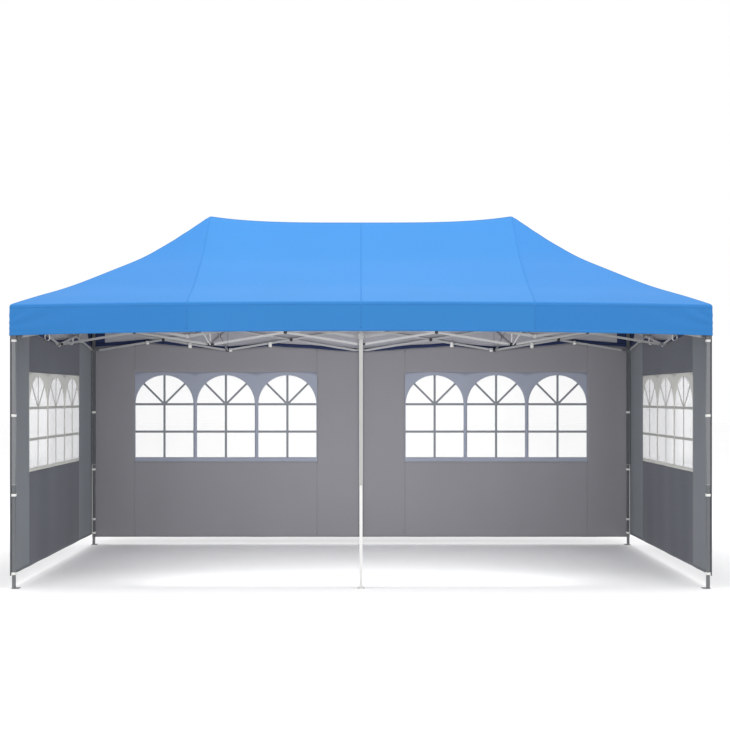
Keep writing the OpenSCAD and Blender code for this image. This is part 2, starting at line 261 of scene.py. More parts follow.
def clear_vinyl(name, code, alpha):
    """Clear sheet: nearly white, so that it looks bright."""
    p = Paint(name, Alpha=alpha, Specular_IOR_Level=0.6)
    colour = p.mix(p.fit(p.noise(2.2), 0.35, 0.65, 0.0, 1.0), shade(code, 0.97), shade(code))
    return p.done(colour, p.spread(p.noise(9.0), 0.07, 0.16), p.noise(3.0, 2.0), 0.15, 0.004)


# The tapes' blue is a shade darker than the cloth's: painted shade along the seams' creases
BLUE, BLUE_TAPE_PAINTED_SHADE = "#2d79bb", "#2c76b8"
CANOPY_BLUE = cloth("canopy_blue", BLUE, vary=0.025, sheen=0.10, painted_end_shade=True)
CANOPY_LINING = cloth("canopy_lining", "#9c9ca3", vary=0.04, rough=0.55, sheen=0.1)
SEAM_BLUE = stitched("seam_blue", BLUE_TAPE_PAINTED_SHADE, "#296ba9", sheen=0.03)
LINING_SEAM = stitched("lining_seam", "#8f9096", "#6f7076")
HEM_BLUE = stitched("hem_blue", BLUE_TAPE_PAINTED_SHADE, "#296ba9", rows=(0.006, 0.009), sheen=0.03)
BACK_CLOTH = cloth("wall_grey", "#848388", vary=0.025)
BACK_SEAM = stitched("wall_grey_seam", "#807f84", "#707074")
END_SIDE = cloth("wall_slate", "#626970")
END_CENTRE = cloth("wall_slate_dark", "#404450")
END_SEAM = stitched("wall_slate_seam", "#52575e", "#444950")
BACK_FRAME = cloth("window_frame_blue_grey", "#9297a6")
END_FRAME = cloth("window_frame_pale", "#c2c2bc")
BACK_BARS = cloth("window_bars_grey", "#7f8389")
END_BARS = cloth("window_bars_pale", "#9d9f9a")
NAVY = cloth("binding_navy", "#1b284c", vary=0.05, sheen=0.05)
STRAP_WHITE = webbing("strap_white", "#e9e9e7")
VINYL = clear_vinyl("clear_vinyl", "#fdfeff", 0.10)
END_VINYL = clear_vinyl("clear_vinyl_end", "#f6f7f8", 0.42)
# One leg paint, with painted shade on the corner legs: the middle legs are the palest, the front corner legs darker
# and the back corner legs the darkest: (outer, inner) for each
LEG_PAINTS = {place: (powder_coat(name, outer, bracket=True), powder_coat(name + "_inner", inner))
              for place, name, outer, inner in (("middle", "leg_white", "#b4b4b3", "#e4e4e3"),
                                                ("front", "leg_painted_shade", "#75777b", "#626569"),
                                                ("back", "leg_painted_deep_shade", "#54575b", "#5a5c5f"))}
BAR_GREY = powder_coat("bar_grey", "#a3a4a6", 0.36)
# The truss bars that run front to back: the bar grey darkened as painted shade under the roof
CROSS_BAR_PAINTED_SHADE = powder_coat("cross_bar_painted_shade", "#7a7c82", 0.40)
BLACK = moulded("joint_black", "#1b1c1f")
JOINT_PALE = moulded("joint_pale_grey", "#9c9d9e")
# The corner sliders' nylon: the pale joint colour darkened as painted shade
JOINT_PAINTED_SHADE = moulded("joint_painted_shade", "#5d5f62")
STEEL = powder_coat("pin_steel", "#a8a9ab", 0.28)


# ---- mesh building
def make_object(name, verts, faces, mats, slot_name, strip=None):
    """A smooth mesh object without its unused points; a closed solid's faces are turned outwards."""
    used = np.unique(np.concatenate([np.asarray(f).ravel() for f in faces]))
    renumber = np.full(len(verts), -1)
    renumber[used] = np.arange(len(used))
    data = bpy.data.meshes.new(name)
    data.from_pydata(np.asarray(verts)[used].tolist(), [], [renumber[list(f)].tolist() for f in faces])
    for m in mats:
        data.materials.append(m)
    data.shade_smooth()
    work = bmesh.new()
    work.from_mesh(data)
    if all(e.is_manifold for e in work.edges):
        bmesh.ops.recalc_face_normals(work, faces=work.faces)
        work.to_mesh(data)
    work.free()
    if strip is not None:
        layer = data.attributes.new("strip", "FLOAT_VECTOR", "POINT")
        layer.data.foreach_set("vector", np.asarray(strip, np.float32)[used].ravel())
    obj = put(name, data)
    return obj


def grid_faces(nu, nv, keep=None):
    """Quads of a grid whose point (i, j) is number i * nv + j."""
    i, j = np.meshgrid(np.arange(nu - 1), np.arange(nv - 1), indexing="ij")
    a = i * nv + j
    quads = np.stack([a, a + nv, a + nv + 1, a + 1], axis=-1)
    return quads[keep] if keep is not None else quads.reshape(-1, 4)


def thicken(obj, thickness, offset=0, inside=0):
    """Gives a sheet its thickness; inside is the material number of its other face."""
    m = obj.modifiers.new("thickness", "SOLIDIFY")
    m.thickness, m.offset, m.material_offset = thickness, offset, inside
    return obj


def ring_ids(nu, nv):
    """The numbers of a grid's edge points, all the way round."""
    return np.concatenate([np.arange(nu) * nv, (nu - 1) * nv + np.arange(1, nv),
                           np.arange(nu - 2, -1, -1) * nv + nv - 1, np.arange(nv - 2, 0, -1)])


def between(upper, lower):
    """Quads between two closed rings of point numbers."""
    return np.stack([upper, lower, np.roll(lower, -1), np.roll(upper, -1)], axis=-1)


def slab(front, back):
    """A closed solid between two grids of points, as (points, faces)."""
    nu, nv = front.shape[:2]
    top, rim = grid_faces(nu, nv), ring_ids(nu, nv)
    faces = np.concatenate([top, top[:, ::-1] + nu * nv, between(rim, rim + nu * nv)])
    return np.concatenate([front.reshape(-1, 3), back.reshape(-1, 3)]), faces


def strip_plan(a, b, offsets, step):
    """A grid of points along the line from a to b, and the strip coordinates of its slab."""
    a, b = np.array(a, float), np.array(b, float)
    length = np.linalg.norm(b - a)
    t = np.linspace(0, 1, max(2, int(length / step)) + 1)[:, None]
    side = np.array([-(b - a)[1], (b - a)[0]]) / length
    return (a + t * (b - a))[:, None, :] + offsets[None, :, None] * side, strip_map(t * length, offsets)


def strip_map(along, across):
    """Distances along and across a slab, for its stitches."""
    along, across = np.broadcast_arrays(along, across)
    one = np.dstack([along, across, np.zeros(along.shape)]).reshape(-1, 3)
    return np.concatenate([one, one])


def join(parts):
    """Several (points, faces) as one."""
    faces, start = [], 0
    for p, f in parts:
        faces += [tuple(int(k) + start for k in q) for q in f]
        start += len(p)
    return np.concatenate([p for p, _ in parts]), faces


def loop_strap(path, across, thickness):
    """A closed band: path is its closed middle line, across its width as a vector."""
    path, across = np.asarray(path, float), np.asarray(across, float)
    forward = np.roll(path, -1, 0) - np.roll(path, 1, 0)
    out = np.cross(forward, across)
    out /= np.linalg.norm(out, axis=1)[:, None]
    corners = [path + s * across / 2 + t * out * thickness / 2 for s, t in ((-1, -1), (1, -1), (1, 1), (-1, 1))]
    points = np.stack(corners, axis=1)
    n = len(path)
    faces = [(4 * i + k, 4 * i + (k + 1) % 4, 4 * ((i + 1) % n) + (k + 1) % 4, 4 * ((i + 1) % n) + k)
             for i in range(n) for k in range(4)]
    return points.reshape(-1, 3), faces


def turned(profile, centre, axis, sides=24):
    """A closed solid of revolution: profile is (radius, height) pairs from axis to axis."""
    centre, axis = Vector(centre), Vector(axis).normalized()
    u = axis.orthogonal().normalized()
    v = axis.cross(u)
    points = [centre + axis * profile[0][1]]
    for r, h in profile[1:-1]:
        for k in range(sides):
            a = math.tau * k / sides
            points.append(centre + axis * h + (u * math.cos(a) + v * math.sin(a)) * r)
    points.append(centre + axis * profile[-1][1])
    last, rings, faces = len(points) - 1, len(profile) - 2, []
    for k in range(sides):
        m = (k + 1) % sides
        faces.append((0, 1 + m, 1 + k))
        for r in range(rings - 1):
            a, b = 1 + r * sides, 1 + (r + 1) * sides
            faces.append((a + k, a + m, b + m, b + k))
        faces.append((last, 1 + (rings - 1) * sides + k, 1 + (rings - 1) * sides + m))
    return np.array([list(p) for p in points]), faces


# ---- how cloth follows the folding frame
def vertex_array(obj):
    co = np.empty(len(obj.data.vertices) * 3, np.float32)
    obj.data.vertices.foreach_get("co", co)
    return co.reshape(-1, 3)


def leg_shares(x, y):
    """Each leg's share in a point's motion."""
    outward = np.clip(np.abs(x) / (2 * BAY), 0, 1)
    back = np.clip((y + BAY) / (2 * BAY), 0, 1)
    column = {"left": np.where(x < 0, outward, 0), "middle": 1 - outward, "right": np.where(x > 0, outward, 0)}
    row = {"front": 1 - back, "back": back}
    return {f"{r}_{c}": row[r] * column[c] for r in row for c in column}


def follow_frame(obj, drop=0.0, foot=0.0, at=None):
    """Hooks cloth to the legs: drop is the sliders' share of its motion and foot the inner legs', for
    each point or for all; at is a plan place for the whole piece."""
    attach(obj, ROOT)
    co = vertex_array(obj)
    x, y = (co[:, 0], co[:, 1]) if at is None else np.full((2, len(co)), [[at[0]], [at[1]]])
    drop, foot = np.broadcast_to(drop, len(co)), np.broadcast_to(foot, len(co))
    for n, share in leg_shares(x, y).items():
        for kind, part in (("outer_leg", 1 - drop - foot), ("slider", drop), ("inner_leg", foot)):
            body = f"{kind}_{n}"
            weight = np.round(share * part, 3)
            if body == ROOT or weight.max() < 0.001:
                continue
            group = obj.vertex_groups.new(name=body)
            order = np.argsort(weight, kind="stable")
            levels, first = np.unique(weight[order], return_index=True)
            for level, chosen in zip(levels, np.split(order, first[1:])):
                if level > 0:
                    group.add(chosen.tolist(), float(level), "REPLACE")
            hook = obj.modifiers.new(body, "HOOK")
            hook.object, hook.vertex_group, hook.falloff_type = BODIES[body], body, "NONE"
    return obj


# ---- canopy
HIP_SOFT, EAVE_R, CORNER_R, CLOTH_T = 0.0045, 0.014, 0.014, 0.0009
PEAK_DROP, VALANCE_H = 0.75, EAVE_Z - VALANCE_LOW
ROOF_SLOPE = math.atan2(PEAK_Z - EAVE_Z, EDGE_Y)
EAVE_LIFT, HEM_LIFT, BACK_HEM_LIFT = 0.030, 0.038, 0.018
TAPE_HALF = 0.009
# The corner folds fan out from a point this far below the eave and this far beyond the corner
FAN_DEPTH, FAN_BACK = 0.190, 0.10
VALANCE_ROWS = np.linspace(EAVE_Z - EAVE_R, VALANCE_LOW, 22)


def eave_lift(x):
    """The long eaves rise a little from the corners to the middle."""
    return 1 - np.clip(np.abs(x) / EDGE_X, 0, 1) ** 2.2


def roof_share(x, y):
    """0 at the eave to 1 at the ridge, softened along the hips."""
    a = 1 - np.sqrt(y * y + 0.004 ** 2) / EDGE_Y
    b = (EDGE_X - np.abs(x)) / (EDGE_X - BAY)
    low = np.minimum(a, b)
    return low - HIP_SOFT * np.log1p(np.exp(-np.abs(a - b) / HIP_SOFT)) * np.clip(low * 8, 0, 1)


def roof_z(x, y):
    """Four slopes and a ridge, all hanging a little."""
    u = roof_share(x, y)
    inner = np.clip(np.abs(x) / BAY, 0, 1)
    sag = RIDGE_DROP * (1 - inner ** RIDGE_POWER)
    z = EAVE_Z + (PEAK_Z - EAVE_Z) * u - ROOF_SAG * u * (1 - u) - sag * u
    slack = u * (1 - u) * 4
    ripple = np.sin(5.1 * x + 1.3 * np.sin(2.3 * y)) * np.sin(4.3 * y + 0.8) * 0.0022
    pull = np.sin(11 * np.arctan2(np.abs(y) + 0.02, BAY + 0.3 - np.abs(x))) * 0.0020
    hug = (0.018 * np.exp(-((1 - u) / 0.12) ** 2) - 0.016 * np.exp(-((u - 0.65) / 0.13) ** 2)
           + 0.009 * np.exp(-((u - 0.12) / 0.10) ** 2))
    return z + (ripple + pull) * slack + hug * np.clip(u * 25, 0, 1) + EAVE_LIFT * eave_lift(x) * (1 - u)


def round_corner(x, y):
    """Rounds the plan's corners."""
    a, b = np.abs(x) - (EDGE_X - CORNER_R), np.abs(y) - (EDGE_Y - CORNER_R)
    corner = (a > 0) & (b > 0)
    pull = np.where(corner, np.maximum(a, b) / np.maximum(np.hypot(a, b), 1e-9), 1)
    nx = np.where(corner, np.sign(x) * (EDGE_X - CORNER_R + a * pull), x)
    ny = np.where(corner, np.sign(y) * (EDGE_Y - CORNER_R + b * pull), y)
    return nx, ny


def down_share(z):
    """0 at the eave to 1 at the valance's lower edge."""
    return np.clip((EAVE_Z - z) / VALANCE_H, 0, 1)


def valance_out(x, y, z):
    """How far the valance stands out: waves towards its hem, and folds that fan out from the corners."""
    on_long_side = np.abs(np.abs(y) - EDGE_Y) < CORNER_R + 1e-6
    along = np.where(on_long_side, x, y)
    gap = np.where(on_long_side, EDGE_X, EDGE_Y) - np.abs(along)
    t = down_share(z)
    near = np.exp(-gap / 0.34) * (1 - np.exp(-gap / 0.055))
    fan = np.arctan2(EAVE_Z - FAN_DEPTH - z, gap + FAN_BACK)
    fold = 0.5 + 0.5 * np.sin(15.0 * fan + 5.0 * gap)
    ripples = 0.016 * near * fold * np.sin(math.pi * np.clip(t, 0.03, 0.97)) ** 0.7
    wide = 0.0026 * t * (0.6 + np.sin(4.7 * along + 0.9)) * (1 - np.exp(-gap / 0.15))
    small = 0.0009 * t * np.sin(23.0 * along) * (1 - np.exp(-gap / 0.15))
    return 0.0020 * t + ripples + wide + small


def valance_lift(x, y, z):
    """How far the valance is lifted at height z."""
    t = down_share(z)
    hem = np.where(y > 0, BACK_HEM_LIFT, HEM_LIFT)
    return (EAVE_LIFT + (hem - EAVE_LIFT) * t) * eave_lift(x)


EDGE_STEPS = np.concatenate([[0, 0.0003, 0.0012, 0.003, 0.006, 0.010, 0.015, 0.023, 0.036, 0.054, 0.077],
                             np.linspace(0.1, EDGE_Y, 61)])
GRID_Y = np.concatenate([-EDGE_Y + EDGE_STEPS, (EDGE_Y - EDGE_STEPS)[::-1][1:]])
GRID_X = np.concatenate([-EDGE_X + EDGE_STEPS, np.linspace(-BAY, BAY, 127)[1:-1],
                         (EDGE_X - EDGE_STEPS)[::-1]])


def roof_points():
    x, y = np.meshgrid(GRID_X, GRID_Y, indexing="ij")
    gap = np.minimum(EDGE_X - np.abs(x), EDGE_Y - np.abs(y))
    near = np.clip(EAVE_R - gap, 0, EAVE_R)
    z = roof_z(x, y) - (EAVE_R - np.sqrt(EAVE_R ** 2 - near ** 2))
    x, y = round_corner(x, y)
    return np.stack([x, y, z], axis=-1)


# The roof's edge: its points, their outward directions in plan, and the distance round to each
ROOF = roof_points()
RING = ROOF.reshape(-1, 3)[ring_ids(*ROOF.shape[:2])]
forward = np.roll(RING[:, :2], -1, 0) - np.roll(RING[:, :2], 1, 0)
RING_OUT = np.stack([forward[:, 1], -forward[:, 0]], axis=1) / np.linalg.norm(forward, axis=1)[:, None]
RING_ALONG = np.concatenate([[0], np.cumsum(np.linalg.norm(np.diff(RING[:, :2], axis=0), axis=1))])


def valance_row(z, out=0.0):
    """The ring of valance points at one height, moved out."""
    stand = valance_out(RING[:, 0], RING[:, 1], z) + out
    return np.column_stack([RING[:, :2] + RING_OUT * stand[:, None], z + valance_lift(RING[:, 0], RING[:, 1], z)])


def canopy_piece(name, points, faces, mats, strip=None):
    """The higher a point is, the more it follows the sliders: the peaks sink as the frame folds."""
    obj = make_object(name, points, faces, mats, "canopy_cloth", strip)
    height = (vertex_array(obj)[:, 2] - EAVE_Z) / (PEAK_Z - EAVE_Z)
    return follow_frame(obj, drop=PEAK_DROP * np.clip(height, 0, 1))


def make_canopy():
    """One continuous sheet: the roof, the eave's turn and the valance, silver on its inside."""
    nx, ny = ROOF.shape[:2]
    ring = ring_ids(nx, ny)
    count = len(ring)
    rows = [valance_row(z) for z in VALANCE_ROWS[1:]]
    points = np.concatenate([ROOF.reshape(-1, 3)] + rows)
    # Cells on a hip are split along it, so that the fold runs straight
    mid_x, mid_y = (m.ravel() for m in np.meshgrid((GRID_X[:-1] + GRID_X[1:]) / 2,
                                                   (GRID_Y[:-1] + GRID_Y[1:]) / 2, indexing="ij"))
    on_hip = np.abs((EDGE_X - np.abs(mid_x)) - (EDGE_Y - np.abs(mid_y))) < 1e-4
    quads = grid_faces(nx, ny)
    faces = quads[~on_hip].tolist()
    for (p0, p1, p2, p3), falling in zip(quads[on_hip].tolist(), (mid_x * mid_y > 0)[on_hip]):
        faces += [[p0, p1, p2], [p0, p2, p3]] if falling else [[p0, p1, p3], [p1, p2, p3]]
    levels = [ring] + [nx * ny + k * count + np.arange(count) for k in range(len(rows))]
    for upper, lower in zip(levels, levels[1:]):
        faces += between(upper, lower).tolist()
    obj = canopy_piece("canopy_cloth", points, faces, [CANOPY_BLUE, CANOPY_LINING])
    thicken(obj, CLOTH_T, -1, inside=1)
    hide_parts("canopy")
    return obj


def ring_band(name, top, bottom, proud, mat):
    """A closed band round the valance, proud of it on both sides."""
    inner, middle, bevel = -CLOTH_T - proud, -CLOTH_T / 2, 0.001
    section = [(top, middle), (top - bevel, proud), (bottom + bevel, proud), (bottom, middle),
               (bottom + bevel, inner), (top - bevel, inner)]
    points = np.concatenate([valance_row(z, out) for z, out in section])
    count, n = len(RING), len(section)
    levels = np.arange(n * count).reshape(n, count)
    faces = np.concatenate([between(*pair) for pair in zip(levels, np.roll(levels, -1, 0))])
    strip = np.column_stack([np.tile(RING_ALONG, n), points[:, 2] - (top + bottom) / 2, np.zeros(n * count)])
    obj = canopy_piece(name, points, faces, [mat, CANOPY_LINING], strip)
    inside = np.repeat(np.isin(np.arange(n), (3, 4)), count)
    obj.data.polygons.foreach_set("material_index", inside.astype(np.int32))
    return obj


def roof_strip(a, b, half=TAPE_HALF):
    """A seam tape on the roof between two plan points, just proud of both its faces."""
    plan, strip = strip_plan(a, b, np.array([-1, -0.85, -0.3, 0, 0.3, 0.85, 1]) * half, 0.024)
    lifts = np.array([-0.2, 0.9, 1.1, 1.1, 1.1, 0.9, -0.2]) / 1000
    z = roof_z(plan[..., 0], plan[..., 1])
    top = np.dstack([plan, z + lifts])
    under = np.dstack([plan, z - CLOTH_T / np.cos(ROOF_SLOPE) - lifts[::-1]])
    return slab(top, under), strip


def valance_strip(x, y):
    """A seam tape down the valance beside a plan point on the eave line."""
    heights = np.linspace(EAVE_Z - 0.016, VALANCE_LOW + 0.026, 16)
    on_front = abs(abs(y) - EDGE_Y) < 1e-6
    offsets = np.array([-1, -0.85, 0, 0.85, 1]) * TAPE_HALF
    lifts = np.array([-0.2, 0.8, 1.0, 0.8, -0.2]) / 1000
    h, o = np.meshgrid(heights, offsets, indexing="ij")
    way, out = ((1, 0), (0, np.sign(y))) if on_front else ((0, 1), (np.sign(x), 0))
    px, py = x + o * way[0], y + o * way[1]
    stand = valance_out(px, py, h)

    layers = [np.dstack([px + out[0] * (stand + lift), py + out[1] * (stand + lift), h + valance_lift(px, py, h)])
              for lift in (lifts, -CLOTH_T - lifts)]
    return slab(*layers), strip_map(h, o)


def make_seams():
    """Seam tapes on both faces: hips, ridge, panel seams on the long slopes, and the valance's."""
    start, hip_end, seam_end = 0.03, 0.022, 0.012
    panels = [(x, sy) for x in (-BAY, 0, BAY) for sy in (-1, 1)]
    runs = {"hip_seams": [roof_strip((sx * (BAY + start), sy * start),
                                     (sx * (EDGE_X - hip_end), sy * (EDGE_Y - hip_end)))
                          for sx in (-1, 1) for sy in (-1, 1)],
            "panel_seams": [roof_strip((x, sy * start), (x, sy * (EDGE_Y - seam_end))) for x, sy in panels],
            "ridge_seam": [roof_strip((-BAY - 0.01, 0), (BAY + 0.01, 0), half=0.011)],
            "valance_seams": [valance_strip(x, sy * EDGE_Y) for x, sy in panels]
            + [valance_strip(sx * EDGE_X, 0) for sx in (-1, 1)]}
    made = []
    for name, parts in runs.items():
        obj = canopy_piece(name, *join([solid for solid, _ in parts]), [SEAM_BLUE, LINING_SEAM],
                           np.concatenate([strip for _, strip in parts]))
        # A solid's points are its upper grid and then its lower one
        below = np.concatenate([np.repeat([0, 1], len(solid[0]) // 2) for solid, _ in parts])
        for f in obj.data.polygons:
            f.material_index = int(all(below[k] for k in f.vertices))
        made.append(obj)
    return made


def corner_patch(name, x_sign, y_sign):
    """The navy reinforcement inside the valance at a corner."""
    reach = 0.155
    run = np.where((x_sign * RING[:, 0] > EDGE_X - reach) & (y_sign * RING[:, 1] > EDGE_Y - reach))[0]
    if run[-1] - run[0] > len(run):
        run = np.concatenate([run[run > len(RING) / 2], run[run < len(RING) / 2]])
    outer, inner = (np.stack([valance_row(z, -CLOTH_T - gap)[run] for z in VALANCE_ROWS[2:-4]], axis=1)
                    for gap in (0.0010, 0.0022))
    return canopy_piece(name, *slab(inner, outer), [NAVY])


# ---- walls
class Wall:
    """One wall: its plane, its ties, its windows' places and its gentle waves."""

    def __init__(self, name, node, line, waves):
        lo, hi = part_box(node)
        self.name, self.node = name, node
        self.back = "back" in node
        self.sign = 1 if (self.back or "right" in node) else -1
        self.plane = (lo.y + hi.y) / 2 if self.back else (lo.x + hi.x) / 2
        self.start, self.end = (lo.x, hi.x) if self.back else (lo.y, hi.y)
        self.low, self.waves = lo.z, waves
        self.r, self.step, self.sill, self.spring, self.border, shift = BACK_WINDOW if self.back else END_WINDOW
        self.waviness = 1.0 if self.back else 0.6
        # The order of a grid's corners that turns its faces outwards
        self.turn = -1 if self.back or self.sign < 0 else 1
        self.centre = (line[0] + line[1]) / 2 + shift * (1 if line[0] > line[1] else -1)
        self.arches = [self.centre + k * self.step for k in (-1, 0, 1)]
        self.tie_at = [line[0] + a * (line[1] - line[0]) for a in HANG_AT]
        self.tie_z = HANG_Z if self.back else END_HANG_Z
        side = node.split("_")[-1]
        ends = (f"back_{side}", "back_middle") if self.back else (f"front_{side}", f"back_{side}")
        self.hangs_from = [f"outer_leg_{n}" for n in ends]

    def top(self, s):
        """The upper edge: it hangs a little between its ties."""
        order = np.argsort(self.tie_at)
        at, z = np.array(self.tie_at)[order], np.array(self.tie_z)[order]
        k = np.clip(np.searchsorted(at, s) - 1, 0, len(at) - 2)
        f = np.clip((s - at[k]) / (at[k + 1] - at[k]), 0, 1)
        return np.interp(s, at, z) - 0.014 * f * (1 - f)

    def wave(self, s, z):
        """How far the cloth stands off its plane: soft upright folds, less at the top."""
        a, b, c = self.waves
        calm = np.clip((2.12 - z) / 0.5, 0, 1)
        calm = calm * np.clip((s - self.start) / 0.12, 0, 1) * np.clip((self.end - s) / 0.12, 0, 1)
        soft = 0.0034 * np.sin(a * s + 0.5 * z) + 0.0022 * np.sin(b * s - 0.9 * z + c)
        return (soft + 0.0012 * np.sin(1.7 * z + 2 * s) + 0.0045) * calm * self.waviness

    def place(self, s, z, out=0.0):
        """Points of the wall at shares s along and z up, moved outwards by out."""
        s, z = np.broadcast_arrays(s, z)
        off = self.plane + self.sign * (self.wave(s, z) + out)
        return np.stack([s, off, z] if self.back else [off, s, z], axis=-1)

    def arch_gap(self, s):
        """Distance along the wall from the nearest arch's middle."""
        return np.min([np.abs(s - c) for c in self.arches], axis=0)

    def make(self, ending, points, faces, mats, strip=None, slot_name="wall_cloth"):
        """A piece of this wall; it follows the legs, and near the floor the inner ones."""
        obj = make_object(self.name + ending, points, faces, mats, slot_name, strip)
        return follow_frame(obj, foot=np.clip((FOOT_TOP - vertex_array(obj)[:, 2]) / FOOT_SPAN, 0, 1))

    def puffed(self, s, z, puff):
        """A closed solid about the points (s, z), standing out by puff on both sides."""
        return slab(self.place(s, z, puff), self.place(s, z, -puff))

    def make_grid(self, ending, s, heights, hole, mats):
        """A sheet through points at (s, heights), without the cells where hole is true."""
        grid = self.place(s[:, None], heights)
        faces = grid_faces(*grid.shape[:2], ~hole)[:, ::self.turn]
        return self.make(ending, grid.reshape(-1, 3), faces, mats)


WINDOW_SIDE, WINDOW_TOP = 0.009, 0.034
OVERLAP, WALL_T, FRAME_T, PANE_T = 0.004, 0.0009, 0.0020, 0.0005
BAR_HALF, BAR_Z = 0.0125, 1.245


def window_box(wall):
    """The window frame's outline: (start, end, low, top) along the wall and up."""
    half = wall.step + wall.r + WINDOW_SIDE
    return wall.centre - half, wall.centre + half, wall.sill - wall.border, wall.spring + wall.r + WINDOW_TOP


def chain(*stops, step=0.028):
    """Numbers through all the stops, about a step apart."""
    runs = [np.linspace(a, b, max(2, round(abs(b - a) / step) + 1))[:-1] for a, b in zip(stops, stops[1:])]
    return np.concatenate(runs + [[stops[-1]]])


def make_wall(wall):
    """The wall's cloth, open at the window; an end wall's centre panel has its own colour."""
    a, b, low, top = window_box(wall)
    a, b, low, top = a + OVERLAP, b - OVERLAP, low + OVERLAP, top - OVERLAP
    s = chain(wall.start, a, b, wall.end)
    fixed = chain(wall.low, low, top)
    rise = np.linspace(0, 1, 10)[1:]
    heights = np.array([np.concatenate([fixed, top + (wall.top(v) - top) * rise]) for v in s])
    mid_s, mid_z = (s[:-1] + s[1:]) / 2, (fixed[:-1] + fixed[1:]) / 2
    hole = np.zeros((len(mid_s), heights.shape[1] - 1), bool)
    hole[:, :len(mid_z)] = np.outer((mid_s > a) & (mid_s < b), (mid_z > low) & (mid_z < top))
    obj = wall.make_grid("", s, heights, hole, [BACK_CLOTH] if wall.back else [END_SIDE, END_CENTRE])
    if not wall.back:
        for f in obj.data.polygons:
            f.material_index = int(a - OVERLAP < f.center.y < b + OVERLAP)
    thicken(obj, WALL_T)
    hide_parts(wall.node)
    return obj, float(np.trapz(wall.top(s) - wall.low, s)) - (b - a) * (top - low)


def make_window_frame(wall, mat):
    """The panel round the three arches."""
    a, b, low, top = window_box(wall)
    turn = np.cos(np.linspace(math.pi, 0, 37))
    s = np.concatenate([[a]] + [c + wall.r * turn for c in wall.arches] + [[b]])
    arch_z = wall.spring + np.sqrt(np.clip(wall.r ** 2 - wall.arch_gap(s) ** 2, 0, None))
    up, above, sill = np.linspace(0, 1, 9), np.linspace(0, 1, 7)[1:], wall.sill
    heights = np.stack([np.concatenate([[low, (low + sill) / 2], sill + (v - sill) * up, v + (top - v) * above])
                        for v in arch_z])
    hole = np.zeros((len(s) - 1, heights.shape[1] - 1), bool)
    hole[wall.arch_gap((s[:-1] + s[1:]) / 2) < wall.r, 2:2 + len(up) - 1] = True
    return thicken(wall.make_grid("_window_frame", s, heights, hole, [mat]), FRAME_T)


def make_panes(wall, mat):
    """Three clear sheets, each a little larger than its arch."""
    grow = 0.003
    low, r = wall.sill - grow, wall.r + grow
    turn, rise = np.cos(np.linspace(math.pi, 0, 33)), np.linspace(0, 1, 25)
    tall = wall.spring - low + r * np.sqrt(np.clip(1 - turn ** 2, 0, None))
    parts = []
    for c in wall.arches:
        grid = wall.place((c + r * turn)[:, None], low + tall[:, None] * rise)
        parts.append((grid.reshape(-1, 3), grid_faces(*grid.shape[:2])[:, ::wall.turn]))
    obj = thicken(wall.make("_panes", *join(parts), [mat], slot_name="clear_sheet"), PANE_T)
    area = 3 * (2 * r * (wall.spring - low) + math.pi * r ** 2 / 2)
    return obj, (6 * r, wall.spring + r - low), area


def wall_strip(wall, a, b, half, proud):
    """A closed strip on the wall from (s, z) to (s, z), proud on both sides."""
    plan, strip = strip_plan(a, b, np.array([-1, -0.8, 0, 0.8, 1]) * half, 0.035)
    puff = np.array([0.45, 1, 1, 1, 0.45]) * proud
    return wall.puffed(plan[..., 0], plan[..., 1], puff), strip


def join_strips(wall, ending, parts, mat):
    return wall.make(ending, *join([p for p, _ in parts]), [mat], np.concatenate([s for _, s in parts]))


def make_window_bars(wall, mat):
    """In every arch one bar upright, two across and two at 45 degrees."""
    parts, tuck = [], 0.005
    r, lean = wall.r + tuck, wall.r / math.sqrt(2) + 0.004
    for c in wall.arches:
        parts.append(wall_strip(wall, (c, wall.sill - tuck), (c, wall.spring + r), BAR_HALF, 0.00082))
        for z, proud in ((wall.spring, 0.00076), (BAR_Z, 0.00074)):
            parts.append(wall_strip(wall, (c - r, z), (c + r, z), BAR_HALF, proud))
        for way in (-1, 1):
            tip = (c + way * lean, wall.spring + lean)
            parts.append(wall_strip(wall, (c, wall.spring), tip, BAR_HALF * 0.9, 0.00070))
    return join_strips(wall, "_window_bars", parts, mat)


def make_wall_trim(wall, seam_mat):
    """Hem, side hems and panel seams of a wall."""
    a, b, low, top = window_box(wall)
    inset, hem_z = 0.013, wall.low + 0.012
    parts = [wall_strip(wall, (wall.start + inset, hem_z), (wall.end - inset, hem_z), 0.012, 0.0011)]
    for s in (wall.start + 0.0135, wall.end - 0.0135):
        parts.append(wall_strip(wall, (s, wall.low + 0.001), (s, float(wall.top(s)) - 0.004), 0.0125, 0.0010))
    for s in (a, b):
        for z0, z1 in ((wall.low + 0.025, low), (top, float(wall.top(s)) - 0.02)):
            parts.append(wall_strip(wall, (s, z0), (s, z1), 0.007, 0.0008))
    return join_strips(wall, "_seams", parts, seam_mat)


def make_wall_binding(wall):
    """The navy tape along and above the wall's upper edge."""
    s = chain(wall.start, *(t for t in sorted(wall.tie_at) if wall.start < t < wall.end), wall.end, step=0.03)
    heights = wall.top(s)[:, None] + np.array([0.032, 0.031, 0.014, -0.003, -0.004])
    puff = np.array([0.0003, 0.0013, 0.0013, 0.0012, 0.0005])
    return wall.make("_binding", *wall.puffed(s[:, None], heights, puff), [NAVY])


TIE_W, TIE_SHIFT = 0.034, 0.036


def stadium(half_w, half_h):
    """A closed outline with round ends, taller than wide."""
    points, steps = [], 8
    for centre, start in ((half_h - half_w, 0), (-(half_h - half_w), math.pi)):
        for k in range(steps + 1):
            a = start + math.pi * k / steps
            points.append((half_w * math.cos(a), centre + half_w * math.sin(a)))
    return points


def bar_heights(along):
    """The two truss bars' heights at a distance along a side's line."""
    k = int(along // BAY)
    start = k * BAY + (REACH if k % 2 == 0 else 0)
    f = (along - start) / (BAY - REACH)
    fall = (TRUSS_TOP - TRUSS_LOW) * min(max(f, 0), 1)
    return sorted((TRUSS_TOP - fall, TRUSS_LOW + fall))


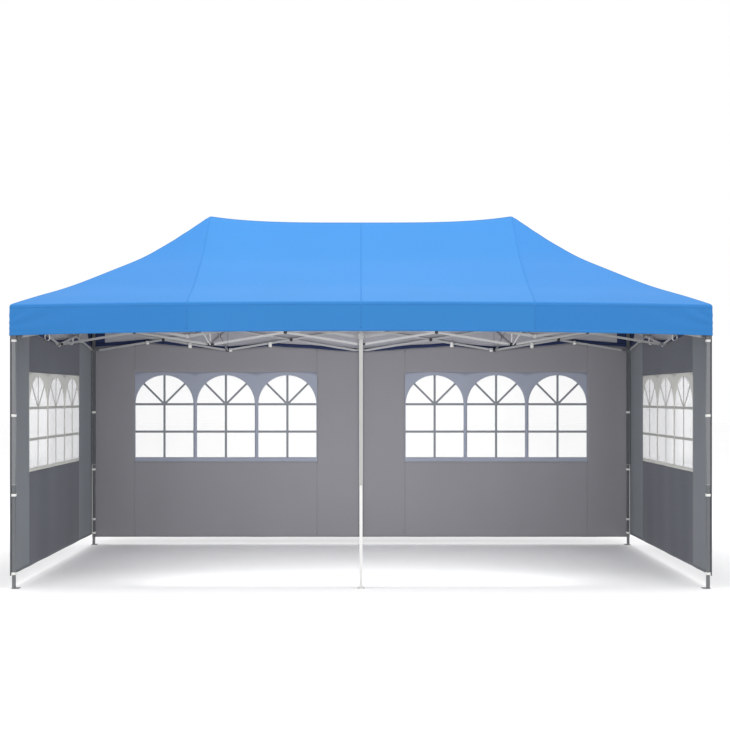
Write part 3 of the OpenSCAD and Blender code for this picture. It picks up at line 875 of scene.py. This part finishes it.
def make_ties(wall):
    """White loops sewn on the wall's inner face, round the truss bars just beside the mid joint."""
    inner, outer = (BAY if wall.back else 2 * BAY) - 0.0185, abs(wall.plane) - 0.0014
    middle, half_w = (inner + outer) / 2, (outer - inner) / 2
    parts = []
    for at, z in list(zip(wall.tie_at, wall.tie_z))[1:-1]:
        if wall.back and abs(at) < BAY / 2:
            continue
        if wall.back and abs(abs(at) - BAY) < TIE_SHIFT:
            at -= math.copysign(TIE_SHIFT, at)
        reach = at + 2 * BAY if wall.back else at + BAY
        low_bar = bar_heights(reach)[0]
        top_z, low_z = low_bar + 0.0165, min(z, low_bar) - 0.022
        centre_z = (top_z + low_z) / 2
        path = [(at, middle + u, centre_z + v) if wall.back else (wall.sign * (middle + u), at, centre_z + v)
                for u, v in stadium(half_w, (top_z - low_z) / 2)]
        parts.append(loop_strap(path, (TIE_W, 0, 0) if wall.back else (0, TIE_W, 0), 0.0014))
    return wall.make("_ties", *join(parts), [STRAP_WHITE])


def leg_band(leg, z, half, r, steps, height, thickness):
    """A closed band round a leg at height z: a square with rounded corners."""
    path, centre = [], LEG_XY[leg]
    for k, (cx, cy) in enumerate(((1, 1), (-1, 1), (-1, -1), (1, -1))):
        for j in range(steps + 1):
            a = (k + j / steps) * math.pi / 2
            path.append((centre.x + cx * (half - r) + r * math.cos(a),
                         centre.y + cy * (half - r) + r * math.sin(a), z))
    return loop_strap(path, (0, 0, height), thickness)


# ---- frame pieces
WASHER_R, CAP_R = 0.017, 0.018


def islands(node):
    """The separate solids of a CAD node, each as (points, faces), welded."""
    work = bmesh.new()
    work.from_mesh(NODES[node].data)
    bmesh.ops.remove_doubles(work, verts=work.verts, dist=1e-5)
    work.verts.index_update()
    seen, found = set(), []
    for v in work.verts:
        if v in seen or not v.link_faces:
            continue
        stack, group = [v], {v}
        while stack:
            new = {w for e in stack.pop().link_edges for w in e.verts} - group
            group |= new
            stack += new
        seen |= group
        number = {w: i for i, w in enumerate(sorted(group, key=lambda w: w.index))}
        faces = {f for w in group for f in w.link_faces}
        found.append((np.array([list(w.co) for w in number]),
                      sorted(tuple(number[w] for w in f.verts) for f in faces)))
    work.free()
    return found


def soften(obj, weld=False):
    """Small rounded edges."""
    if weld:
        m = obj.modifiers.new("weld", "WELD")
        m.merge_threshold = 1e-5
    m = obj.modifiers.new("edges", "BEVEL")
    m.width, m.segments, m.limit_method, m.angle_limit = 0.0006, 2, "ANGLE", math.radians(40)


def copy_place(obj, x, y, kind):
    """obj moves as the truss node at (x, y) does: with the outer legs or with the sliders."""
    for n, share in leg_shares(x, y).items():
        body = f"{kind}_{n}"
        if share < 1e-6 or body == ROOT:
            continue
        c = obj.constraints.new("COPY_LOCATION")
        c.target, c.use_offset, c.influence = BODIES[body], True, float(share)


def make_truss_pieces():
    """The inner trusses, bar by bar: each turns about its first pivot as the side bars do."""
    for node in ("ridge_truss", "cross_trusses", "middle_truss", "upper_hubs"):
        numbers = {}
        for points, faces in islands(node):
            lo, hi = points.min(0), points.max(0)
            size, centre = hi - lo, (lo + hi) / 2
            along = 0 if size[0] > size[1] else 1
            node_at = np.round(centre / BAY) * BAY
            if size[along] > 0.5:
                across = 1 - along
                node_at[along] = round(lo[along] / BAY - 0.02) * BAY
                start = points[points[:, along] < lo[along] + 2 * BAR_R]
                falling = start[:, 2].mean() > centre[2]
                pivot = np.array([0.0, 0.0, TRUSS_TOP if falling else TRUSS_LOW])
                pivot[along], pivot[across] = lo[along] + BAR_R, node_at[across]
                letter = "a" if falling else "b"
                kind, turn = "bar_" + letter, f"{'left' if along else 'front'}_bar_1{letter}"
                # Bars along y take the darker copy of the bar paint, as painted shade
                mats, slot_name = [CROSS_BAR_PAINTED_SHADE if along else BAR_GREY, BLACK], "bar_paint"
                side = 1 if centre[across] > pivot[across] else -1
                face = abs((hi if side > 0 else lo)[across] - pivot[across])
                outward, middle = np.zeros(3), centre.copy()
                outward[across], middle[across] = side, pivot[across]
                washer = disc(middle, outward, WASHER_R, face + 0.0001, face + 0.0022)
            else:
                pivot = centre
                falling = centre[2] > (TRUSS_TOP + TRUSS_LOW) / 2
                kind, turn, washer = "hub" if "hub" in node else "clevis", None, None
                mats, slot_name = [BLACK], "joint_plastic"
            numbers[kind] = numbers.get(kind, 0) + 1
            bar_faces = len(faces)
            if washer:
                points, faces = join([(points, faces), washer])
            obj = make_object(f"{node}_{kind}_{numbers[kind]}", points - pivot, faces, mats, slot_name)
            obj.data.shade_flat()
            obj.data.polygons.foreach_set("material_index", np.repeat([0, 1], [bar_faces, len(faces) - bar_faces]))
            obj.location = pivot
            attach(obj, ROOT)
            soften(obj)
            copy_place(obj, node_at[0], node_at[1], "outer_leg" if falling else "slider")
            if turn:
                obj.constraints.new("COPY_ROTATION").target = BODIES[turn]
            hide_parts(node)


def disc(centre, axis, r, low, high):
    """A shallow domed cap from low to high along the axis."""
    edge = min(0.0012, (high - low) / 3)
    profile = [(0, low), (r - edge / 2, low), (r, low + edge / 2), (r, high - edge), (r - edge, high - edge / 3),
               (r * 0.55, high), (0, high)]
    return turned(profile, centre, axis, 28)


def make_joint_caps():
    """Black washers at the crossings and caps on the mid joints; the front's caps are painted."""
    lines = {"front": ((-2, -1, 0), (1, 0, 0), (0, -1, 0), 4), "back": ((-2, 1, 0), (1, 0, 0), (0, 1, 0), 4),
             "left": ((-2, -1, 0), (0, 1, 0), (-1, 0, 0), 2), "right": ((2, -1, 0), (0, 1, 0), (1, 0, 0), 2)}
    span = BAY - REACH
    for side, (*line, count) in lines.items():
        origin, way, out = (Vector(v) for v in line)
        for k in range(1, count + 1):
            start = (k - 1) * BAY + (REACH if k % 2 else 0)
            crossing = (start + span / 2, (TRUSS_TOP + TRUSS_LOW) / 2, WASHER_R)
            mid = (start + span, TRUSS_TOP, CAP_R) if k % 2 else (start, TRUSS_LOW, CAP_R)
            for name, (along, z, r) in (("washers", crossing), ("caps", mid)):
                spot = origin * BAY + way * along + Vector((0, 0, z))
                pair = join([disc(spot, out, r, 0.0143, 0.0168), disc(spot, -out, r, 0.0143, 0.0160)])
                mat = BAR_GREY if side == "front" and name == "caps" else BLACK
                obj = make_object(f"{side}_joint_{name}_{k}", *pair, [mat], "joint_plastic")
                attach(obj, f"{side}_bar_{k}b")


def make_leg_details():
    """The lips at the outer tubes' mouths and the sliders' pull pins."""
    lip_h, lip_t = 0.005, 0.0024
    pin_profile = [(0, 0), (0.0028, 0), (0.0028, 0.0024), (0.0042, 0.0032), (0.0042, 0.0062),
                   (0.0034, 0.0072), (0, 0.0074)]
    for n in LEG_NAMES:
        band = leg_band(n, OUTER_FOOT - lip_h / 2, LEG_HALF - lip_t / 2 + 0.0006, 0.0016, 3, lip_h, lip_t)
        lip = make_object(f"leg_lip_{n}", *band, [BAR_GREY], "joint_plastic")
        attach(lip, f"outer_leg_{n}")
        inward = Vector((0, 1 if "front" in n else -1, 0))
        start = LEG_XY[n].to_3d() + Vector((0, 0, TRUSS_LOW - 0.0185)) + inward * 0.0229
        pin = make_object(f"slider_pin_{n}", *turned(pin_profile, start, inward, 20), [STEEL], "bar_paint")
        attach(pin, f"slider_{n}")


def dress_cad_nodes():
    """Materials and softened edges for the CAD nodes that show."""
    for name, obj in NODES.items():
        if obj.hide_render:
            continue
        if name.startswith(("outer_leg", "inner_leg")):
            # Corner legs take the darker copies of the leg paint, which are painted shade
            place = next(place for place in LEG_PAINTS if place in name)
            mat = LEG_PAINTS[place][name.startswith("inner")]
        elif name.startswith("slider"):
            # The corner sliders take the darker copy, as painted shade
            mat = JOINT_PALE if "middle" in name else JOINT_PAINTED_SHADE
        elif name.startswith(("clevis", "lower_hub")):
            mat = BLACK
        else:
            mat = BAR_GREY
        if not obj.material_slots:
            obj.data.materials.append(mat)
        for s in obj.material_slots:
            s.link = "OBJECT"
            s.material = mat
        soften(obj, weld=True)


# ---- stage and light
def make_stage():
    """A pale floor with soft light from above and in front."""
    size = 60.0
    p = Paint("floor", Roughness=0.9)
    p.plug(p.bsdf.inputs["Base Color"], p.mix(p.noise(0.6, 2.0), shade("#fbfbfb"), shade("#ffffff")))
    data = bpy.data.meshes.new("floor")
    data.from_pydata([(x * size, y * size, 0) for x, y in ((-1, -1), (1, -1), (1, 1), (-1, 1))], [], [(0, 1, 2, 3)])
    data.materials.append(p.mat)
    put("floor", data)

    world = bpy.data.worlds.new("studio")
    world.use_nodes = True
    background = world.node_tree.nodes["Background"].inputs
    background["Color"].default_value, background["Strength"].default_value = (1, 1, 1, 1), 1.0
    scene.world = world
    lights = [("overhead", (0, -2.0, 9.0), (0, 0, 1.5), (9.0, 5.4), 480),
              ("front_fill", (0, -13.0, 4.5), (0, 0, 1.4), (8.0, 4.8), 60),
              ("inside_fill", (0, -1.42, 1.2), (0, 1.5, 1.25), (3.6, 1.9), 50)]
    for name, place, aim, (width, height), energy in lights:
        data = bpy.data.lights.new(name, "AREA")
        data.shape, data.size, data.size_y, data.energy = "RECTANGLE", width, height, energy
        light = put(name, data)
        light.visible_camera, light.location = False, place
        light.rotation_euler = (Vector(aim) - Vector(place)).to_track_quat("-Z", "Y").to_euler()
    scene.view_settings.view_transform = "Standard"
    scene.view_settings.look = "None"


# ---- assembly
canopy = make_canopy()
trim = make_seams()
trim.append(ring_band("valance_hem", VALANCE_LOW + 0.024, VALANCE_LOW - 0.0006, 0.0007, HEM_BLUE))
trim.append(ring_band("eave_seam", EAVE_Z - 0.016, EAVE_Z - 0.031, 0.0007, SEAM_BLUE))
trim += [corner_patch(f"corner_patch_{y_name}_{x_name}", x_sign, y_sign)
         for x_name, x_sign in (("left", -1), ("right", 1)) for y_name, y_sign in (("front", -1), ("back", 1))]

walls = [Wall("back_left_wall", "back_wall_left", (-2 * BAY, 0.0), (7.3, 12.9, 0.4)),
         Wall("back_right_wall", "back_wall_right", (2 * BAY, 0.0), (6.9, 13.7, 1.9)),
         Wall("left_end_wall", "end_wall_left", (-BAY, BAY), (7.9, 12.1, 2.6)),
         Wall("right_end_wall", "end_wall_right", (-BAY, BAY), (6.5, 14.3, 0.9))]
for wall in walls:
    cloth_piece, cut_area = make_wall(wall)
    mats = (BACK_FRAME, VINYL, BACK_BARS, BACK_SEAM) if wall.back else (END_FRAME, END_VINYL, END_BARS, END_SEAM)
    surround = make_window_frame(wall, mats[0])
    panes, pane_flat, pane_area = make_panes(wall, mats[1])
    pieces = [surround, make_window_bars(wall, mats[2]), make_wall_trim(wall, mats[3]), make_wall_binding(wall),
              make_ties(wall)]
    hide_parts("window_panes")

# White hook-and-loop straps round the legs, loose enough to slide over the outer tubes
strap_heights = {leg: (0.128, 0.795, 1.47, 2.108) if "front" in leg else (0.13, 0.28, 0.83, 1.46)
                 for leg in LEG_NAMES if "middle" not in leg}
strap_heights["back_middle"] = (0.24, 0.83, 1.46)
for leg, heights in strap_heights.items():
    for number, height in enumerate(heights, 1):
        band = leg_band(leg, height, LEG_HALF + 0.0019, 0.003, 4, 0.022, 0.0013)
        strap = make_object(f"leg_strap_{leg}_{number}", *band, [STRAP_WHITE], "wall_cloth")
        follow_frame(strap, foot=float(height < OUTER_FOOT), at=LEG_XY[leg])

make_truss_pieces()
make_joint_caps()
make_leg_details()
dress_cad_nodes()
make_stage()
